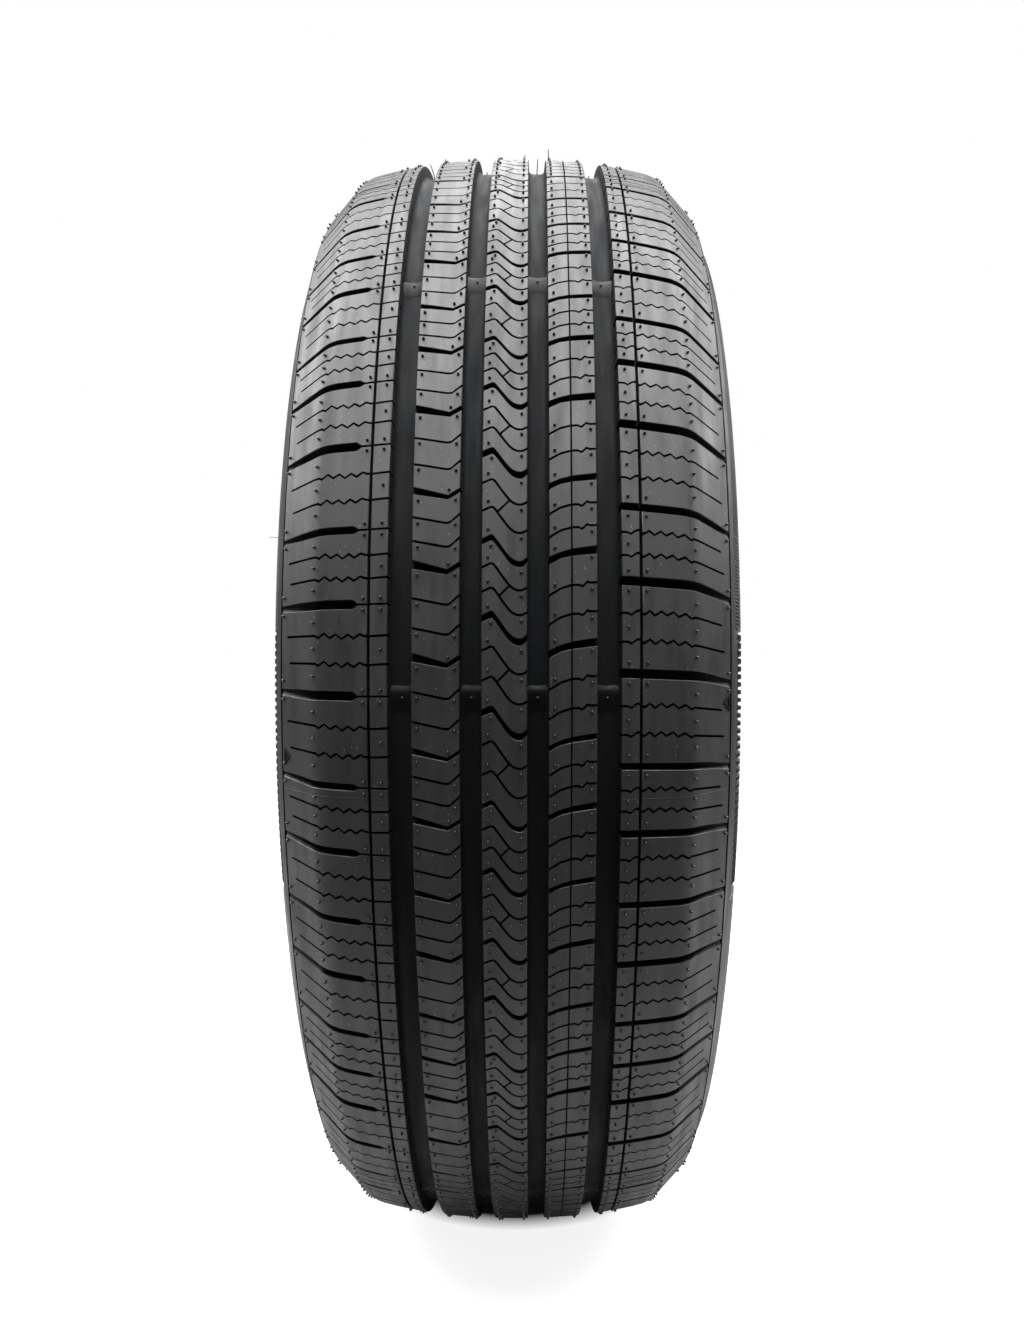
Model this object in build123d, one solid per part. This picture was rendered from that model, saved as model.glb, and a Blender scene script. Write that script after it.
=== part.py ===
"""Car tyre, one moulded solid.

The tyre is a ring about the Y axis with its centre at the origin and +Z up, in millimetres.
One section, symmetric about the middle plane, is turned round the axle: five tread ribs with four
main grooves between them, the shoulders, the buttresses, the sidewalls, the beads and the liner.
Then both shoulders are cut into blocks with flat tops, one to each pitch of the tread, with a cross
groove between two of them. The left shoulder's grooves stop short of the main groove.
"""

from build123d import *
import os
from dataclasses import dataclass
from math import cos, pi, sin, sqrt

# Overall sizes
OVERALL_DIAMETER = 701.8
SECTION_WIDTH = 228.0
BEAD_SEAT_DIAMETER = 436.6

# Tread, from the middle plane outwards
CROWN_RADIUS = 400.0
CENTRE_RIB_WIDTH = 20.2
INNER_GROOVE_WIDTH = 9.7
MIDDLE_RIB_WIDTH = 21.6
OUTER_GROOVE_WIDTH = 11.6
SHOULDER_RIB_WIDTH = 31.0
GROOVE_DEPTH = 8.0

# Shoulder: its fall below the crown's arc, then the slant down to the edge line
SHOULDER_FALL = 2.0
BUTTRESS_WIDTH = 19.0
BUTTRESS_HEIGHT = 18.0

# Cross grooves of the shoulders: their width on the longest pitch, the height of their bottoms over the main
# groove's floor, where they run out before the edge line, and how far the left ones stay off the main groove
CROSS_GROOVE_WIDTH = 4.3
CROSS_GROOVE_RISE = 1.0
CROSS_GROOVE_RUN_OUT = 2.0
CLOSED_RIM_WIDTH = 14.3

# Pitches of the tread, in units that fill the round, and the place of each shoulder's first groove on it
PITCH_RUN = (8, 11, 11, 8, 8, 10, 9, 10, 9, 12, 12, 10, 12, 10, 8, 10, 8, 9, 11)
PITCH_CLOSE = (10, 11, 10, 9, 10, 12, 10)
LEFT_FIRST_GROOVE = -334.0
RIGHT_FIRST_GROOVE = -324.5

# Height of the blocks' corners over the round, so that their flat tops lie half above and half below it
BLOCK_RISE = 0.3

# Sidewall and bead, with heights above the bead seat as shares of the section's height
WIDEST_BAND_TOP = 0.54
WIDEST_BAND_BOTTOM = 0.345
FLANGE_TOP = 0.132
FLANGE_OVERHANG = 8.5
BEAD_SPREAD = 165.0
BEAD_SEAT_WIDTH = 20.0

# Rubber and cord behind the grooves, at the sidewall and in from the shoulder line, and the liner's upright
# part, with heights as shares too
UNDERTREAD_THICKNESS = 12.5
SIDEWALL_THICKNESS = 9.0
SHOULDER_THICKNESS = 10.0
LINER_BAND_TOP = 0.618
LINER_BAND_BOTTOM = 0.33

# Worked out from the sizes above
RADIUS = OVERALL_DIAMETER / 2
SEAT_RADIUS = BEAD_SEAT_DIAMETER / 2
CENTRE_RIB_EDGE = CENTRE_RIB_WIDTH / 2
MIDDLE_RIB_START = CENTRE_RIB_EDGE + INNER_GROOVE_WIDTH
MIDDLE_RIB_END = MIDDLE_RIB_START + MIDDLE_RIB_WIDTH
SHOULDER_RIB_START = MIDDLE_RIB_END + OUTER_GROOVE_WIDTH
SHOULDER_LINE = SHOULDER_RIB_START + SHOULDER_RIB_WIDTH
EDGE_LINE = SHOULDER_LINE + BUTTRESS_WIDTH
HALF_WIDTH = SECTION_WIDTH / 2
HEEL = BEAD_SPREAD / 2
SECTION_HEIGHT = RADIUS - SEAT_RADIUS
CROWN_CENTRE = RADIUS - sqrt(CROWN_RADIUS**2 - CENTRE_RIB_EDGE**2)


def crown(across: float) -> float:
    """Radius of the tread at a distance from the middle plane.

    The crown's arc has its centre in the middle plane and passes through the centre rib's edges.
    """
    return CROWN_CENTRE + sqrt(CROWN_RADIUS**2 - across**2)


SHOULDER_RADIUS = crown(SHOULDER_LINE) - SHOULDER_FALL
EDGE_RADIUS = SHOULDER_RADIUS - BUTTRESS_HEIGHT


def height(share: float) -> float:
    """Radius at a share of the section's height."""
    return SEAT_RADIUS + share * SECTION_HEIGHT


def main_groove(start: float, end: float) -> list[tuple[float, float]]:
    """Corners of a main groove as (across, radius), from its inner wall's top to its outer wall's foot."""
    return [(start, crown(start)), (start, crown(start) - GROOVE_DEPTH), (end, crown(end) - GROOVE_DEPTH)]


def outside() -> list[tuple[float, float]]:
    """Outside of half the section, from the centre rib's edge to the bead's toe.

    The shoulder has rubber to spare, which the cut into blocks takes off, and the sidewall's line runs on
    past the edge line by a share of its length.
    """
    spare, share = 2.0, 0.1
    band_top = height(WIDEST_BAND_TOP)
    return [
        *main_groove(CENTRE_RIB_EDGE, MIDDLE_RIB_START),
        (MIDDLE_RIB_START, crown(MIDDLE_RIB_START)),
        *main_groove(MIDDLE_RIB_END, SHOULDER_RIB_START),
        (SHOULDER_RIB_START, crown(SHOULDER_RIB_START) + spare),
        (SHOULDER_LINE + spare, SHOULDER_RADIUS + spare),
        (EDGE_LINE - share * (HALF_WIDTH - EDGE_LINE), EDGE_RADIUS + share * (EDGE_RADIUS - band_top)),
        (HALF_WIDTH, band_top),
        (HALF_WIDTH, height(WIDEST_BAND_BOTTOM)),
        (HEEL + FLANGE_OVERHANG, height(FLANGE_TOP)),
        (HEEL, SEAT_RADIUS),
        (HEEL - BEAD_SEAT_WIDTH, SEAT_RADIUS),
    ]


def liner() -> list[tuple[float, float]]:
    """Inside of half the section, from the widest band up to the flat under the tread."""
    return [
        (HALF_WIDTH - SIDEWALL_THICKNESS, height(LINER_BAND_BOTTOM)),
        (HALF_WIDTH - SIDEWALL_THICKNESS, height(LINER_BAND_TOP)),
        (SHOULDER_LINE - SHOULDER_THICKNESS, RADIUS - GROOVE_DEPTH - UNDERTREAD_THICKNESS),
    ]


def mirrored(half: list[tuple[float, float]]) -> list[tuple[float, float]]:
    """The other half of a line of points, in the order that meets the first half."""
    return [(-across, radius) for across, radius in reversed(half)]


def section() -> Face:
    """The whole section, drawn with the radius along X and the axle along Y."""
    line = mirrored(outside()) + outside() + liner() + mirrored(liner())
    return make_face(Polyline([(radius, across) for across, radius in line], close=True)).face()


def facet(*corners: Vector) -> Face:
    """A flat face with the given corners."""
    return Face(Wire.make_polygon(corners, close=True))


@dataclass
class ShoulderCut:
    """The ring of air round one shoulder: its inside has the blocks' flat tops and a ridge for each groove.

    Attributes:
        side: 1 for the right shoulder, -1 for the left one.
        first: Place of the first groove, measured round the tyre.
        groove_start: Distance from the middle plane at which the grooves start.
        closed: Whether the grooves stop short of the main groove.
    """

    side: int
    first: float
    groove_start: float
    closed: bool
    start: float = SHOULDER_RIB_START - OUTER_GROOVE_WIDTH / 2
    tip: float = EDGE_LINE - CROSS_GROOVE_RUN_OUT
    end: float = HALF_WIDTH + 2.0
    over: float = RADIUS + 10.0
    units: tuple[int, ...] = PITCH_RUN * 3 + PITCH_CLOSE

    def place(self, across: float, radius: float, index: int) -> Vector:
        """A point in the middle of a groove, whose turn is the share of the pitches before it."""
        index %= len(self.units)
        turn = 2 * pi * sum(self.units[:index]) / sum(self.units) + self.first / RADIUS
        return Vector(radius * cos(turn), self.side * across, radius * sin(turn))

    def top(self, across: float, index: int, depth: float = 0.0) -> Vector:
        """A point where two blocks' tops would meet, or below it: the shoulder's slant, then the buttress's."""
        slope = (crown(SHOULDER_RIB_START) - SHOULDER_RADIUS) / SHOULDER_RIB_WIDTH
        if across > SHOULDER_LINE:
            slope = BUTTRESS_HEIGHT / BUTTRESS_WIDTH
        radius = SHOULDER_RADIUS + BLOCK_RISE - (across - SHOULDER_LINE) * slope
        return self.place(across, radius - depth, index)

    def bottom(self, across: float, index: int) -> Vector:
        """A point at the bottom of a groove."""
        return self.top(across, index, GROOVE_DEPTH - CROSS_GROOVE_RISE)

    def lip(self, across: float, index: int, way: int) -> Vector:
        """A point on a groove's lip, half its width towards the next groove (1) or the one before (-1)."""
        here, there = self.top(across, index), self.top(across, index + way)
        half = CROSS_GROOVE_WIDTH / 2 * self.units[index % len(self.units) - 1] / max(self.units)
        return here + (there - here).normalized() * half

    def groove(self, index: int) -> list[Face]:
        """The walls of a groove, two straight ones and two that run out on the buttress, and its end."""
        deep = [self.bottom(SHOULDER_LINE, index), self.bottom(self.groove_start, index)]
        faces = []
        for way in (1, -1):
            near, far = self.lip(self.groove_start, index, way), self.lip(SHOULDER_LINE, index, way)
            faces.append(facet(near, far, *deep))
            faces.append(facet(far, self.top(self.tip, index), deep[0]))
        if self.closed:
            lips = [self.lip(self.groove_start, index, way) for way in (1, -1)]
            faces.append(facet(self.top(self.groove_start, index), lips[0], deep[1], lips[1]))
        return faces

    def block(self, index: int) -> list[Face]:
        """The flat top and buttress of the block after a groove, and the cut's outer side over it."""
        after = index + 1
        near = [self.lip(self.groove_start, index, 1), self.lip(self.groove_start, after, -1)]
        far = [self.lip(SHOULDER_LINE, index, 1), self.lip(SHOULDER_LINE, after, -1)]
        rim = []
        if self.closed:
            places = [(self.groove_start, index), (self.start, index), (self.start, after), (self.groove_start, after)]
            rim = [self.top(*place) for place in places]
        slant = [(self.tip, after), (self.end, after), (self.end, index), (self.tip, index)]
        over = [(self.start, index), (self.start, after), (self.end, after), (self.end, index)]
        return [
            facet(*rim, near[1], far[1], far[0], near[0]),
            facet(*far, *[self.top(*place) for place in slant]),
            facet(*[self.place(across, self.over, turn) for across, turn in over]),
        ]

    def side_wall(self, across: float, inner: list[Vector]) -> Face:
        """A flat end of the ring, from the cut's outer side in to the given corners."""
        outer = [self.place(across, self.over, index) for index in range(len(self.units))]
        return Face(Wire.make_polygon(outer, close=True), [Wire.make_polygon(inner, close=True)])

    def solid(self) -> Solid:
        """The whole ring of air."""
        faces, inner = [], []
        for index in range(len(self.units)):
            faces += self.groove(index) + self.block(index)
            if self.closed:
                inner.append(self.top(self.start, index))
            else:
                lips = [self.lip(self.start, index, 1), self.lip(self.start, index + 1, -1)]
                inner += [self.bottom(self.start, index), *lips]
        faces.append(self.side_wall(self.start, inner))
        faces.append(self.side_wall(self.end, [self.top(self.end, index) for index in range(len(self.units))]))
        return Solid(Shell(faces))


left = ShoulderCut(-1, LEFT_FIRST_GROOVE, SHOULDER_RIB_START + CLOSED_RIM_WIDTH, closed=True)
right = ShoulderCut(1, RIGHT_FIRST_GROOVE, ShoulderCut.start, closed=False)
tyre = revolve(section(), Axis.Y) - [left.solid(), right.solid()]

os.makedirs("parts", exist_ok=True)
export_step(tyre, "parts/tyre.step")
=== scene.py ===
"""Car tyre: the dressed model with its floor, lights and camera.

Lengths are millimetres until a mesh is made, which turns them into metres. The tread is drawn unrolled:
"across" is the distance from the middle plane along the tread's curve, "along" is the distance round the
tyre at its full radius, and depth is measured at right angles into the surface. The axle is the Y axis.
"""

import logging
from dataclasses import astuple, dataclass, field
from enum import Enum
from math import pi, radians

import bpy
import numpy as np
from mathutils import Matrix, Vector


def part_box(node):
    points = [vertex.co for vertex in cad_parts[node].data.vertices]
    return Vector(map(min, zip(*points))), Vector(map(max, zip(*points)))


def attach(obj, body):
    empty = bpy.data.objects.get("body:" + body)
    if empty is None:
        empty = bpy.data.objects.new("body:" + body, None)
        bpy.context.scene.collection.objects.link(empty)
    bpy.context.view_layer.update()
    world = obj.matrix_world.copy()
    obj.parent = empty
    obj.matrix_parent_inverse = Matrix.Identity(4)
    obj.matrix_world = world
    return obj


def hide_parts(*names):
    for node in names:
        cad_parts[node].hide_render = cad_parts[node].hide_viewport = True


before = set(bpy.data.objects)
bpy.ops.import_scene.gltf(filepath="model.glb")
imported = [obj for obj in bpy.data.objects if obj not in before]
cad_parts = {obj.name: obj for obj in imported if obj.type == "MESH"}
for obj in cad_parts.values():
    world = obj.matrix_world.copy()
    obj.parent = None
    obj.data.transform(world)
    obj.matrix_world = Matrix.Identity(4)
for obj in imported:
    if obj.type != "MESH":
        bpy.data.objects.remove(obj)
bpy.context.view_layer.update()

log = logging.getLogger("tyre")

MM = 0.001
NODE = "tyre"
BODY = "root"

# The image that the camera is fitted to, in pixels
IMAGE_HEIGHT = 1325

# Room that the moulding nubs need inside the overall radius, the room that they keep to the box, and the
# least cosine by which the box's half sizes are divided
NUB_ROOM = 0.8
NUB_CLEAR = 0.06
LEAST_COSINE = 0.1

# Room that the sidewalls' bars keep to the box
BAR_CLEAR = 0.03

# Depth to which what stands on the tread is sunk into it
FOOT = 0.3

# Power of the taper that makes a stud a dome
DOME = 3.0

WHITE = (1.0, 1.0, 1.0, 1.0)

Points = list[tuple[float, float]]
Triple = tuple[np.ndarray, np.ndarray, np.ndarray]
Socket = bpy.types.NodeSocket
Sources = dict[str | int, Socket | float | tuple[float, ...]]


def frame_reach() -> np.ndarray:
    """Half sizes of the tyre's box in the frame along X, Y and Z, in millimetres."""
    low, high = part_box(NODE)
    return np.minimum(-np.array(low), np.array(high)) / MM


def frame_radius() -> float:
    """Overall radius of the tyre in the frame, in millimetres."""
    return float(max(frame_reach()[[0, 2]]))


class Lamp(Enum):
    """The studio lamps, by where they stand."""

    OVERHEAD = "overhead"
    STRIP = "strip"
    RIM = "rim"
    LEFT = "left"
    RIGHT = "right"


# Geometry helpers


def ring_quads(rows: int, columns: int) -> np.ndarray:
    """Quads of a grid of points that closes on itself both ways.

    Args:
        rows: Number of rows, counted round the tyre.
        columns: Number of columns, counted across it towards +Y.

    Returns:
        Corner indices of shape (rows * columns, 4), facing out of the tyre.
    """
    row, column = np.meshgrid(np.arange(rows), np.arange(columns), indexing="ij")
    below, above = row * columns, (row + 1) % rows * columns
    beside = (column + 1) % columns
    corners = [below + column, below + beside, above + beside, above + column]
    return np.stack(corners, axis=-1).reshape(-1, 4)


def turned(side: np.ndarray | float, radius: np.ndarray | float, turn: np.ndarray) -> np.ndarray:
    """Points of a section turned about the axle: (radius * cos(turn), side, radius * sin(turn)).

    Args:
        side: Places along the axle.
        radius: Distances from the axle.
        turn: Angles in radians.

    Returns:
        Points with a last axis of 3, on the shape that the three spread to together.
    """
    side, radius, turn = np.broadcast_arrays(side, radius, turn)
    return np.stack([radius * np.cos(turn), side, radius * np.sin(turn)], axis=-1)


def weld(points: np.ndarray, quads: np.ndarray, step: float = 0.002) -> tuple[np.ndarray, np.ndarray, list]:
    """Merges points that lie together and drops the sides that this empties.

    A quad that loses one corner becomes a triangle, and one that loses two is left out.

    Args:
        points: Points of shape (n, 3).
        quads: Corner indices of shape (m, 4).
        step: Distance under which points count as one.

    Returns:
        The index of the first point of each merged group, those points, and the faces.
    """
    keys = np.round(points / step).astype(np.int64)
    _, first, group = np.unique(keys, axis=0, return_index=True, return_inverse=True)
    quads = group.reshape(-1)[quads]
    same = quads == np.roll(quads, -1, axis=1)
    folded = (quads[:, 0] == quads[:, 2]) | (quads[:, 1] == quads[:, 3])
    whole = quads[~same.any(axis=1) & ~folded]
    faces = whole.tolist()
    for corner in range(4):
        lone = quads[same[:, corner] & (same.sum(axis=1) == 1) & ~folded]
        faces += lone[:, [(corner + turn) % 4 for turn in (1, 2, 3)]].tolist()
    return first, points[first], faces


def smooth_line(points: Points, steps: int) -> np.ndarray:
    """A smooth line through points: between two of them, the cubic whose slopes come from their neighbours.

    Args:
        points: The points that the line passes through.
        steps: Pieces between two points.

    Returns:
        Points of shape ((len(points) - 1) * steps + 1, 2).
    """
    knots = np.array(points, float)
    slopes = np.gradient(knots, axis=0)
    share = np.linspace(0, 1, steps, endpoint=False)[None, :, None]
    start, end = knots[:-1, None], knots[1:, None]
    start_slope, end_slope = slopes[:-1, None], slopes[1:, None]
    cubic = (
        start * (2 * share**3 - 3 * share**2 + 1)
        + start_slope * (share**3 - 2 * share**2 + share)
        + end * (3 * share**2 - 2 * share**3)
        + end_slope * (share**3 - share**2)
    )
    return np.vstack([cubic.reshape(-1, 2), knots[-1:]])


def studs(base: np.ndarray, axes: Triple, height: np.ndarray, foot: float, top: float,
          bend: np.ndarray | None = None, levels: int = 2, sides: int = 8,
          swell: float = 1.0) -> tuple[np.ndarray, list]:
    """Tapered round studs: at a share of its height, a stud's middle has also moved by bend * share squared.

    The radius falls from foot to top with the share raised to the power swell, so a high one makes a dome.

    Args:
        base: Middles of the feet, of shape (n, 3).
        axes: Unit directions sideways, onward and outward at each foot.
        height: Heights of the studs.
        foot: Radius at the foot.
        top: Radius at the top.
        bend: How far each top leans over, or none for straight studs.
        levels: Rings of points on a stud.
        sides: Points in a ring.
        swell: Power of the taper.

    Returns:
        Points of shape (n * levels * sides, 3), and the faces.
    """
    sideways, onward, outward = axes
    share = np.linspace(0, 1, levels)
    corner = np.arange(sides) * 2 * pi / sides
    ring = np.cos(corner)[:, None] * sideways[:, None] + np.sin(corner)[:, None] * onward[:, None]
    middle = base[:, None] + (outward * height[:, None])[:, None] * share[:, None]
    if bend is not None:
        middle = middle + bend[:, None] * share[:, None] ** 2
    points = middle[:, :, None] + ring[:, None] * (foot + (top - foot) * share**swell)[:, None, None]
    index = np.arange(points.size // 3).reshape(points.shape[:3])
    beside = np.roll(index, -1, axis=2)
    walls = np.stack([index[:, :-1], beside[:, :-1], beside[:, 1:], index[:, 1:]], axis=-1)
    faces = walls.reshape(-1, 4).tolist() + index[:, -1].tolist() + index[:, 0, ::-1].tolist()
    return points.reshape(-1, 3), faces


def bars(points: np.ndarray, flip: np.ndarray) -> list:
    """Faces of closed bars, each a profile carried along a path.

    Args:
        points: Points of shape (n, stations, corners, 3), with the corners in order round the profile.
        flip: Whether each bar's faces are turned over.

    Returns:
        The faces: sides and both ends.
    """
    index = np.arange(points.size // 3).reshape(points.shape[:3])
    beside = np.roll(index, -1, axis=2)
    sides = np.stack([index[:, :-1], index[:, 1:], beside[:, 1:], beside[:, :-1]], axis=-1)
    faces = []
    for step, kept in ((1, ~flip), (-1, flip)):
        faces += sides[kept].reshape(-1, 4)[:, ::step].tolist()
        faces += index[kept, 0][:, ::step].tolist() + index[kept, -1][:, ::-step].tolist()
    return faces


def make_piece(name: str, points: np.ndarray, faces: list, depth: np.ndarray | None = None,
               outer: "Rubber | None" = None, sharp: float = 32.0) -> None:
    """Makes a mesh object that stands for the tyre's node.

    Faces that lie deeper than SLOPE_FROM or GROOVE_FROM on the mean of their corners get the slopes' or the
    grooves' rubber, darker ones that paint the shade in the grooves.

    Args:
        name: Name of the piece.
        points: Points in millimetres, with a last axis of 3.
        faces: Lists of corner indices.
        depth: Depth of each point under the tread, or a rib's shade, which picks the rubbers of painted
            shade; none for a piece with no grooves.
        outer: The rubber of the faces outside the grooves.
        sharp: Angle in degrees past which an edge is shaded sharp.
    """
    mesh = bpy.data.meshes.new(name)
    mesh.from_pydata((points.reshape(-1, 3) * MM).tolist(), [], faces)
    mesh.materials.append((outer or TREAD_RUBBER).material())
    if depth is not None:
        mesh.materials.append(SLOPE_PAINTED_SHADE.material())
        mesh.materials.append(GROOVE_PAINTED_SHADE.material())
        corners = np.zeros(len(mesh.loops), np.int32)
        mesh.loops.foreach_get("vertex_index", corners)
        starts, totals = np.zeros((2, len(mesh.polygons)), np.int32)
        mesh.polygons.foreach_get("loop_start", starts)
        mesh.polygons.foreach_get("loop_total", totals)
        mean = np.add.reduceat(depth[corners], starts) / totals
        finish = np.searchsorted((SLOPE_FROM, GROOVE_FROM), mean)
        mesh.polygons.foreach_set("material_index", finish.astype(np.int32))
    mesh.shade_smooth()
    mesh.set_sharp_from_angle(angle=radians(sharp))
    mesh.validate()
    piece = bpy.data.objects.new(name, mesh)
    bpy.context.scene.collection.objects.link(piece)
    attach(piece, BODY)
    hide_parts(NODE)
    log.info("%s: %d points, %d faces", name, len(mesh.vertices), len(mesh.polygons))


# Finishes


@dataclass(frozen=True)
class Graph:
    """The nodes of a material or of the surroundings, and the ways to add to them."""

    tree: bpy.types.NodeTree

    def feed(self, node: bpy.types.Node, sources: Sources) -> None:
        """Joins inputs of a node to outputs of others, or sets them to constants.

        Args:
            node: The node.
            sources: For each input, the output that it gets its value from, or the value.
        """
        for name, source in sources.items():
            if isinstance(source, Socket):
                self.tree.links.new(source, node.inputs[name])
            else:
                node.inputs[name].default_value = source

    def add(self, kind: str, output: str, sources: Sources, operation: str = "") -> Socket:
        """Adds a node.

        Args:
            kind: Its type.
            output: The output that is wanted.
            sources: What its inputs get.
            operation: What it does with its inputs, if its type has a choice.

        Returns:
            The output.
        """
        node = self.tree.nodes.new(kind)
        if operation:
            node.operation = operation
        self.feed(node, sources)
        return node.outputs[output]

    def place(self) -> Socket:
        """The place on the object, in metres."""
        return self.add("ShaderNodeTexCoord", "Object", {})

    def noise(self, place: Socket, size: float, detail: float) -> Socket:
        """A noise whose lumps are about the given size in millimetres."""
        sources = {"Vector": place, "Scale": 1 / (size * MM), "Detail": detail}
        return self.add("ShaderNodeTexNoise", "Fac", sources)

    def spread(self, value: Socket, stretch: tuple[float, float], reach: tuple[float, float]) -> Socket:
        """The value, with a stretch of it spread evenly over a reach and held at its ends."""
        limits = zip(("From Min", "From Max", "To Min", "To Max"), (*stretch, *reach))
        return self.add("ShaderNodeMapRange", "Result", {"Value": value, **dict(limits)})

    def combine(self, operation: str, first: Socket, second: Socket) -> Socket:
        """Two values combined by an operation."""
        return self.add("ShaderNodeMath", "Value", {0: first, 1: second}, operation)

    def scale_parts(self, operation: str, vector: Socket, by: tuple[float, float, float]) -> Socket:
        """A vector with its parts multiplied or divided by constants."""
        return self.add("ShaderNodeVectorMath", "Vector", {0: vector, 1: by}, operation)

    def length(self, vector: Socket) -> Socket:
        """The length of a vector."""
        return self.add("ShaderNodeVectorMath", "Value", {0: vector}, "LENGTH")


# Sizes of the rubber's patches, streaks and specks of dust in millimetres, and how the streaks are drawn out
PATCH_SIZE = 38.0
STREAK_SIZE = 5.0
SPECK_SIZE = 1.1
STREAK_DRAWN = (0.14, 1.0, 0.14)

# Stretches of a noise that the greys and the specks of dust are spread over
NOISE_STRETCH = (0.3, 0.7)
SPECK_STRETCH = (0.81, 0.85)

# How far the roughness wanders below and above its middle
SMOOTHER = 0.1
ROUGHER = 0.12

# A slightly blue grey
COOL = (0.86, 1.0, 1.15)


@dataclass(frozen=True)
class Rubber:
    """Moulded black rubber with a fine grain and a grey that wanders a little.

    Attributes:
        name: Name of the material.
        colour: Middle grey.
        roughness: Middle roughness.
        gloss: Specular level.
        mottle: Share by which the grey wanders.
        grain: Height of the fine grain, in millimetres.
        grain_size: Size of the grain, in millimetres.
        dust: How much paler the few specks of dust are.
        tint: Shares of red, green and blue.
    """

    name: str
    colour: float = 0.026
    roughness: float = 0.5
    gloss: float = 0.8
    mottle: float = 0.25
    grain: float = 0.02
    grain_size: float = 0.7
    dust: float = 0.0
    tint: tuple[float, float, float] = (1.0, 1.0, 1.0)

    def material(self) -> bpy.types.Material:
        """Makes the material the first time that it is asked for.

        The grey is the tint times the sum of a tone that wanders in patches and the specks of dust.

        Returns:
            The material.
        """
        known = bpy.data.materials.get(self.name)
        if known:
            return known
        made = bpy.data.materials.new(self.name)
        made.use_nodes = True
        graph = Graph(made.node_tree)
        place = graph.place()
        patches = graph.noise(place, PATCH_SIZE, detail=5.0)
        streaks = graph.noise(graph.scale_parts("MULTIPLY", place, STREAK_DRAWN), STREAK_SIZE, detail=4.0)
        specks = graph.noise(place, SPECK_SIZE, detail=0.0)
        grain = graph.noise(place, self.grain_size, detail=3.0)

        greys = (self.colour * (1 - self.mottle), self.colour * (1 + self.mottle))
        tone = graph.spread(patches, NOISE_STRETCH, greys)
        dusted = graph.combine("ADD", tone, graph.spread(specks, SPECK_STRETCH, (0.0, self.dust)))
        colour = graph.add("ShaderNodeVectorMath", "Vector", {0: self.tint, "Scale": dusted}, "SCALE")
        dull = graph.spread(streaks, NOISE_STRETCH, (self.roughness - SMOOTHER, self.roughness + ROUGHER))
        bump = {"Strength": 1.0, "Distance": self.grain * MM, "Height": grain}
        graph.feed(made.node_tree.nodes["Principled BSDF"], {
            "Base Color": colour,
            "Roughness": dull,
            "Specular IOR Level": self.gloss,
            "Normal": graph.add("ShaderNodeBump", "Normal", bump),
        })
        return made


TREAD_RUBBER = Rubber("tread_rubber", dust=0.12)
# Darker rubber that paints the shade on the grooves' slopes and the ring cuts' walls
SLOPE_PAINTED_SHADE = Rubber("slope_painted_shade", colour=0.014, roughness=0.6, gloss=0.5)
# Darker, slightly blue rubber that paints the shade on the grooves' walls and floors and in the sipes
GROOVE_PAINTED_SHADE = Rubber("groove_painted_shade", colour=0.009, roughness=0.7, gloss=0.25, grain_size=1.1, tint=COOL)
SIDEWALL_RUBBER = Rubber("sidewall_rubber", colour=0.02, roughness=0.5, gloss=0.5, grain_size=1.1)
NUB_RUBBER = Rubber("nub_rubber", colour=0.016, roughness=0.25, gloss=0.9)
# Near-black, slightly blue rubber that paints the grooves' shade on the wear bars
BAR_PAINTED_SHADE = Rubber("bar_painted_shade", colour=0.006, roughness=0.45, gloss=0.2, tint=COOL)
# Near-black rubber that paints the shaded look of the edge marks' rims, the tread hairs and the coarse bars
PAINTED_SHADE_RUBBER = Rubber("painted_shade_rubber", colour=0.004, roughness=0.6, gloss=0.2)
# Paler rubber that paints the light line along the mould seams
SEAM_PAINTED_HIGHLIGHT = Rubber("seam_painted_highlight", colour=0.05, roughness=0.45)
# Paler rubber that paints the lit look of the fine bars and the glint of the wear bars' nibs; it also gives
# the side hairs their pale grey
PALE_PAINTED_LIGHT = Rubber("pale_painted_light", colour=0.09, roughness=0.45, gloss=0.8)

# Mean depths past which a face counts as a groove's slope and as its wall or floor, in millimetres, and gets
# a rubber of painted shade
SLOPE_FROM = 0.6
GROOVE_FROM = 2.2


# The crown: how the unrolled tread lies on the tyre


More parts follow.
